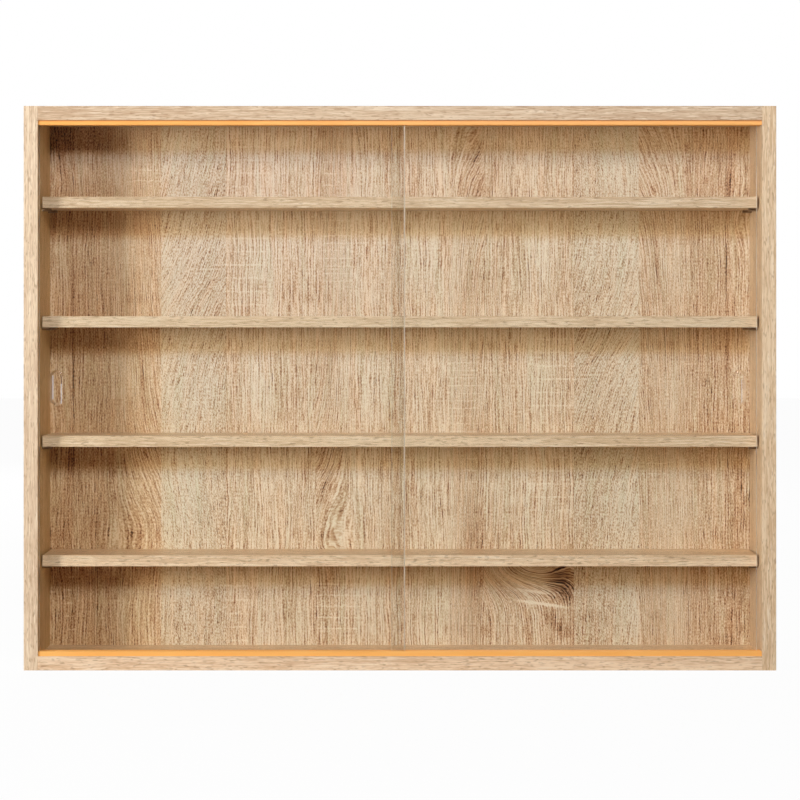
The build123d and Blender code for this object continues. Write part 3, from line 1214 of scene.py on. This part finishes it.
def add_piece(
    name: str,
    places: Sequence[Spot],
    faces: Sequence[tuple[int, ...]],
    material: Material,
) -> Object:
    """Adds a piece with one material.

    Args:
        name: Its name.
        places: Its corners in metres.
        faces: Each face, as the numbers of its corners.
        material: Its material.

    Returns:
        The piece.
    """
    mesh = bpy.data.meshes.new(name)
    mesh.from_pydata(places, [], faces)
    mesh.materials.append(material)
    return add_object(name, mesh)


LEVEL_TINTS = (Tint(241, 211, 170), Tint(219, 185, 143))
LEVEL_MATT = 0.28


@dataclass
class Carcass:
    """The four case boards with their edge bands, dowels, corner screws and caps."""

    nodes: dict[str, Object]
    side_tints: tuple[Tint, Tint] = (Tint(234, 208, 171), Tint(210, 180, 141))
    # Painted shade: a darker, warmer cast on the left board's inner face, which lies in shade.
    left_shade_cast: Tint = Tint(242, 230, 201)
    # The bottom band's paler tints are painted light.
    bands: tuple[tuple[str, Grain, Tint, Tint], ...] = (
        ("left_side_edge_band", Grain.UPRIGHT, Tint(231, 207, 176), Tint(208, 178, 147)),
        ("right_side_edge_band", Grain.UPRIGHT, Tint(232, 205, 170), Tint(208, 174, 136)),
        ("top_edge_band", Grain.ALONG, Tint(217, 191, 160), Tint(192, 159, 127)),
        ("bottom_edge_band", Grain.ALONG, Tint(237, 208, 175), Tint(212, 176, 140)),
        ("side_panel_end_bands", Grain.DEEP, Tint(228, 200, 167), Tint(205, 170, 134)),
    )
    band_dash_cell: Spot = (9.0, 1.4, 1.4)

    def dress(self) -> None:
        """Dresses the boards, the bands and the fixings."""
        bare = (Bare.REAR, Bare.UNDER)
        left = OakFoil("foil_left", Grain.UPRIGHT, *self.side_tints, bare, self.left_shade_cast)
        right = OakFoil("foil_right", Grain.UPRIGHT, *self.side_tints, bare)
        level = OakFoil("foil_level", Grain.ALONG, *LEVEL_TINTS, (Bare.REAR,), matt=LEVEL_MATT)
        dress(self.nodes, ("left_side_panel",), left.material())
        dress(self.nodes, ("right_side_panel",), right.material())
        dress(self.nodes, ("top_panel", "bottom_panel"), level.material())
        for name, *look in self.bands:
            band = OakFoil("foil_of_" + name, *look, dash_cell=self.band_dash_cell)
            dress(self.nodes, (name,), band.material())
        dress(self.nodes, ("corner_dowels",), Beech().material())
        dress(self.nodes, ("corner_screws",), PlatedSteel("corner_screw_zinc").material())
        dress(self.nodes, ("screw_caps",), CapPlastic().material())


@dataclass
class Back:
    """The two printed halves of the back and the tape behind their seam."""

    nodes: dict[str, Object]

    def dress(self) -> None:
        """Dresses the two halves and the tape."""
        dress(self.nodes, ("back_panel_left",), OakPrint("back_print_left", turned=False).material())
        dress(self.nodes, ("back_panel_right",), OakPrint("back_print_right", turned=True).material())
        dress(self.nodes, ("back_panel_tape",), JointTape().material())


@dataclass
class Shelving:
    """The shelves with their front bands and pins."""

    nodes: dict[str, Object]
    # Painted shade: the pins' steel is dark and brownish for the shade under the shelves.
    shaded_pin_tints: tuple[Tint, Tint] = (Tint(138, 114, 92), Tint(176, 152, 126))
    pin_roughness: float = 0.5
    # The band tints grow paler from the top shelf to the bottom one: painted light.
    band_tints: tuple[tuple[Tint, Tint], ...] = (
        (Tint(227, 202, 169), Tint(205, 174, 139)),
        (Tint(231, 206, 172), Tint(209, 178, 142)),
        (Tint(238, 211, 175), Tint(215, 183, 145)),
        (Tint(250, 222, 186), Tint(228, 194, 156)),
    )

    def dress(self) -> None:
        """Dresses the shelves, their bands and their pins."""
        shelves = [f"shelf_{number + 1}" for number in range(len(self.band_tints))]
        foil = OakFoil("foil_shelf", Grain.ALONG, *LEVEL_TINTS, (Bare.ENDS, Bare.REAR), matt=LEVEL_MATT)
        steel = PlatedSteel("turned_pin_steel", *self.shaded_pin_tints, roughness=self.pin_roughness).material()
        dress(self.nodes, shelves, foil.material())
        dress(self.nodes, [shelf + "_pins" for shelf in shelves], steel)
        for shelf, tints in zip(shelves, self.band_tints):
            band = OakFoil("band_" + shelf, Grain.ALONG, *tints)
            dress(self.nodes, (shelf + "_edge_band",), band.material())


@dataclass(frozen=True)
class GlassStrip:
    """A pale matt strip on a pane, from one place to another across it, in millimetres: the ground arris, and
    the painted highlights in the finger recesses.
    """

    name: str
    door: str
    start: Span
    end: Span
    low: float
    high: float
    thick: float = 0.05

    def build(self, material: Material) -> None:
        """Adds the strip as a thin upright bar that moves with its pane.

        Args:
            material: Its material.
        """
        (left, near), (right, far) = self.start, self.end
        section = ((left, near - self.thick), (right, far - self.thick), (right, far), (left, near))
        places = [(x * MM, y * MM, z * MM) for z in (self.low, self.high) for x, y in section]
        sides = [(0, 1, 5, 4), (1, 2, 6, 5), (2, 3, 7, 6), (3, 0, 4, 7)]
        piece = add_piece(self.name, places, [(3, 2, 1, 0), (4, 5, 6, 7), *sides], material)
        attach(piece, self.door)
        LOG.info("added %s", self.name)


@dataclass
class SlidingDoors:
    """The upper and lower tracks and the two panes that slide in them."""

    nodes: dict[str, Object]
    # The upper track's rim is a painted shadow under the top board's overhanging band.
    upper: TrackPlastic = TrackPlastic(
        "upper_orange", Tint(244, 168, 82), Tint(251, 185, 101), shadow_rim=Tint(206, 132, 72)
    )
    # The lower track's paler tints are painted light.
    lower: TrackPlastic = TrackPlastic("lower_orange", Tint(252, 179, 92), Tint(255, 192, 107))
    # Painted highlights: pale matt strips on the finger recesses' long sides, where the lamps glint.
    recess_glint_glass: GroundAndGlintGlass = GroundAndGlintGlass("recess_facet_glass", Tint(184, 172, 166), Tint(212, 204, 206))
    recess_glints: tuple[GlassStrip, ...] = (
        GlassStrip("left_recess_outer_painted_glint", "left_door", (-370.1, -42.75), (-369.1, -42.45), 288.0, 313.0),
        GlassStrip("left_recess_inner_painted_glint", "left_door", (-361.2, -42.6), (-360.2, -42.6), 283.0, 304.5),
        GlassStrip("right_recess_painted_glint", "right_door", (364.6, -36.3), (365.3, -36.3), 284.0, 309.0),
    )
    edge_glass: GroundAndGlintGlass = GroundAndGlintGlass("arris_facet_glass", Tint(180, 160, 136), Tint(206, 190, 168))
    edge_facets: tuple[GlassStrip, ...] = (
        GlassStrip("left_pane_meeting_arris", "left_door", (4.1, -43.8), (5.4, -43.7), 22.0, 579.0),
    )

    def dress(self) -> None:
        """Dresses the tracks and the panes, and adds the ground arris and the painted highlights in the
        finger recesses.
        """
        dress(self.nodes, ("top_track",), self.upper.material())
        dress(self.nodes, ("bottom_track",), self.lower.material())
        dress(self.nodes, ("left_door_glass", "right_door_glass"), PaneGlass("pane_glass").material())
        for glass, glass_strips in ((self.recess_glint_glass, self.recess_glints), (self.edge_glass, self.edge_facets)):
            material = glass.material()
            for glass_strip in glass_strips:
                glass_strip.build(material)


@dataclass
class WallHangers:
    """The keyhole plates on the rear edge of the top board, with their screws."""

    nodes: dict[str, Object]

    def dress(self) -> None:
        """Dresses the plates and the screws."""
        plate = PlatedSteel("hanger_zinc", roughness=0.38).material()
        dress(self.nodes, ("left_hanger_plate", "right_hanger_plate"), plate)
        dress(self.nodes, ("hanger_screws",), PlatedSteel("hanger_screw_zinc", roughness=0.28).material())


@dataclass(frozen=True)
class Softbox:
    """A rectangular studio lamp with its power in watts."""

    name: str
    place: Spot
    width: float
    height: float
    power: float

    def build(self, target: Vector) -> None:
        """Adds the lamp.

        Args:
            target: The point that it is aimed at.
        """
        light = bpy.data.lights.new(self.name, "AREA")
        light.shape = "RECTANGLE"
        light.size, light.size_y = self.width, self.height
        light.energy = self.power
        lamp = add_object(self.name, light)
        lamp.location = self.place
        lamp.rotation_euler = (target - Vector(self.place)).to_track_quat("-Z", "Y").to_euler()


@dataclass
class Studio:
    """The camera, the lamps, the pale floor, the black card and the white surroundings."""

    camera_place: Spot = (0.0011, -2.3825, 0.373)
    focal_pixels: float = 2197.0
    frame_pixels: float = 800.0
    horizon_pixel: Span = (401.0, 319.5)
    sensor: float = 36.0
    sight: float = 100.0
    floor_half: float = 8.0
    floor_drop: float = 0.1 * MM
    card: PlainFinish = PlainFinish(
        "flag_black",
        Tint(6, 6, 6),
        Tint(12, 12, 12),
        (Layer(Noise((3.0, 3.0, 3.0)), tone=0.5),),
        roughness=0.9,
        specular=0.0,
    )
    flag_half: float = 1.5
    flag_depth: Span = (-0.055, -3.4)
    flag_height: Span = (0.002, 2.2)
    target: Spot = (0.0, 0.0, 0.3)
    softboxes: tuple[Softbox, ...] = (
        Softbox("left_box", (-2.36, -1.84, 0.63), 0.42, 0.5, 48.0),
        Softbox("upper_box", (0.28, -2.70, 1.57), 0.46, 0.75, 44.0),
        Softbox("rear_box", (-1.3, 2.6, 1.5), 2.0, 2.0, 48.0),
    )

    def build(self) -> None:
        """Builds the whole studio."""
        self.build_camera()
        self.build_floor()
        self.build_flag()
        self.build_surroundings()
        for softbox in self.softboxes:
            softbox.build(Vector(self.target))
        bpy.context.scene.view_settings.view_transform = "Standard"

    def build_camera(self) -> None:
        """Adds the camera, level and square to the case, at the photograph's distance."""
        lens = bpy.data.cameras.new("camera")
        lens.sensor_width = self.sensor
        lens.lens = self.focal_pixels * self.sensor / self.frame_pixels
        middle = self.frame_pixels / 2
        lens.shift_x = -(self.horizon_pixel[0] - middle) / self.frame_pixels
        lens.shift_y = (self.horizon_pixel[1] - middle) / self.frame_pixels
        lens.clip_end = self.sight
        camera = add_object("camera", lens)
        camera.location = self.camera_place
        camera.rotation_euler = (math.pi / 2, 0.0, 0.0)
        bpy.context.scene.camera = camera

    def build_floor(self) -> None:
        """Adds the floor, a little below the case."""
        half = self.floor_half
        places = [(-half, -half, 0.0), (half, -half, 0.0), (half, half, 0.0), (-half, half, 0.0)]
        floor = add_piece("floor", places, [(0, 1, 2, 3)], FloorWhite().material())
        floor.location.z = -self.floor_drop

    def build_flag(self) -> None:
        """Adds the black card in front of the case that keeps a white room out of the panes' reflections."""
        (near, far), (low, high) = self.flag_depth, self.flag_height
        rows = [(near, low), (far, low), (far, high)]
        places = [(x, y, z) for y, z in rows for x in (-self.flag_half, self.flag_half)]
        card = add_piece("black_flag", places, [(0, 1, 3, 2), (2, 3, 5, 4)], self.card.material())
        card.visible_camera = card.visible_diffuse = card.visible_shadow = False

    def build_surroundings(self) -> None:
        """Makes a world that is white to the eye and gives no light of its own."""
        world = bpy.data.worlds.new("surroundings")
        world.use_nodes = True
        bpy.context.scene.world = world
        nodes = Nodes(world.node_tree)
        seen = nodes.rays("Camera", "Glossy", "Transmission")
        glow = nodes.add("ShaderNodeBackground", {"Color": Tint(255, 255, 255), "Strength": seen})
        nodes.add("ShaderNodeOutputWorld", {"Surface": glow})


def main() -> None:
    """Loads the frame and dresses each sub-assembly in order."""
    logging.basicConfig(level=logging.INFO, format="%(name)s: %(message)s")
    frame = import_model()
    nodes = frame["nodes"]
    Studio().build()
    for assembly in (Carcass, Back, Shelving, SlidingDoors, WallHangers):
        assembly(nodes).dress()
        LOG.info("finished %s", assembly.__name__)


if __name__ == "__main__":
    main()
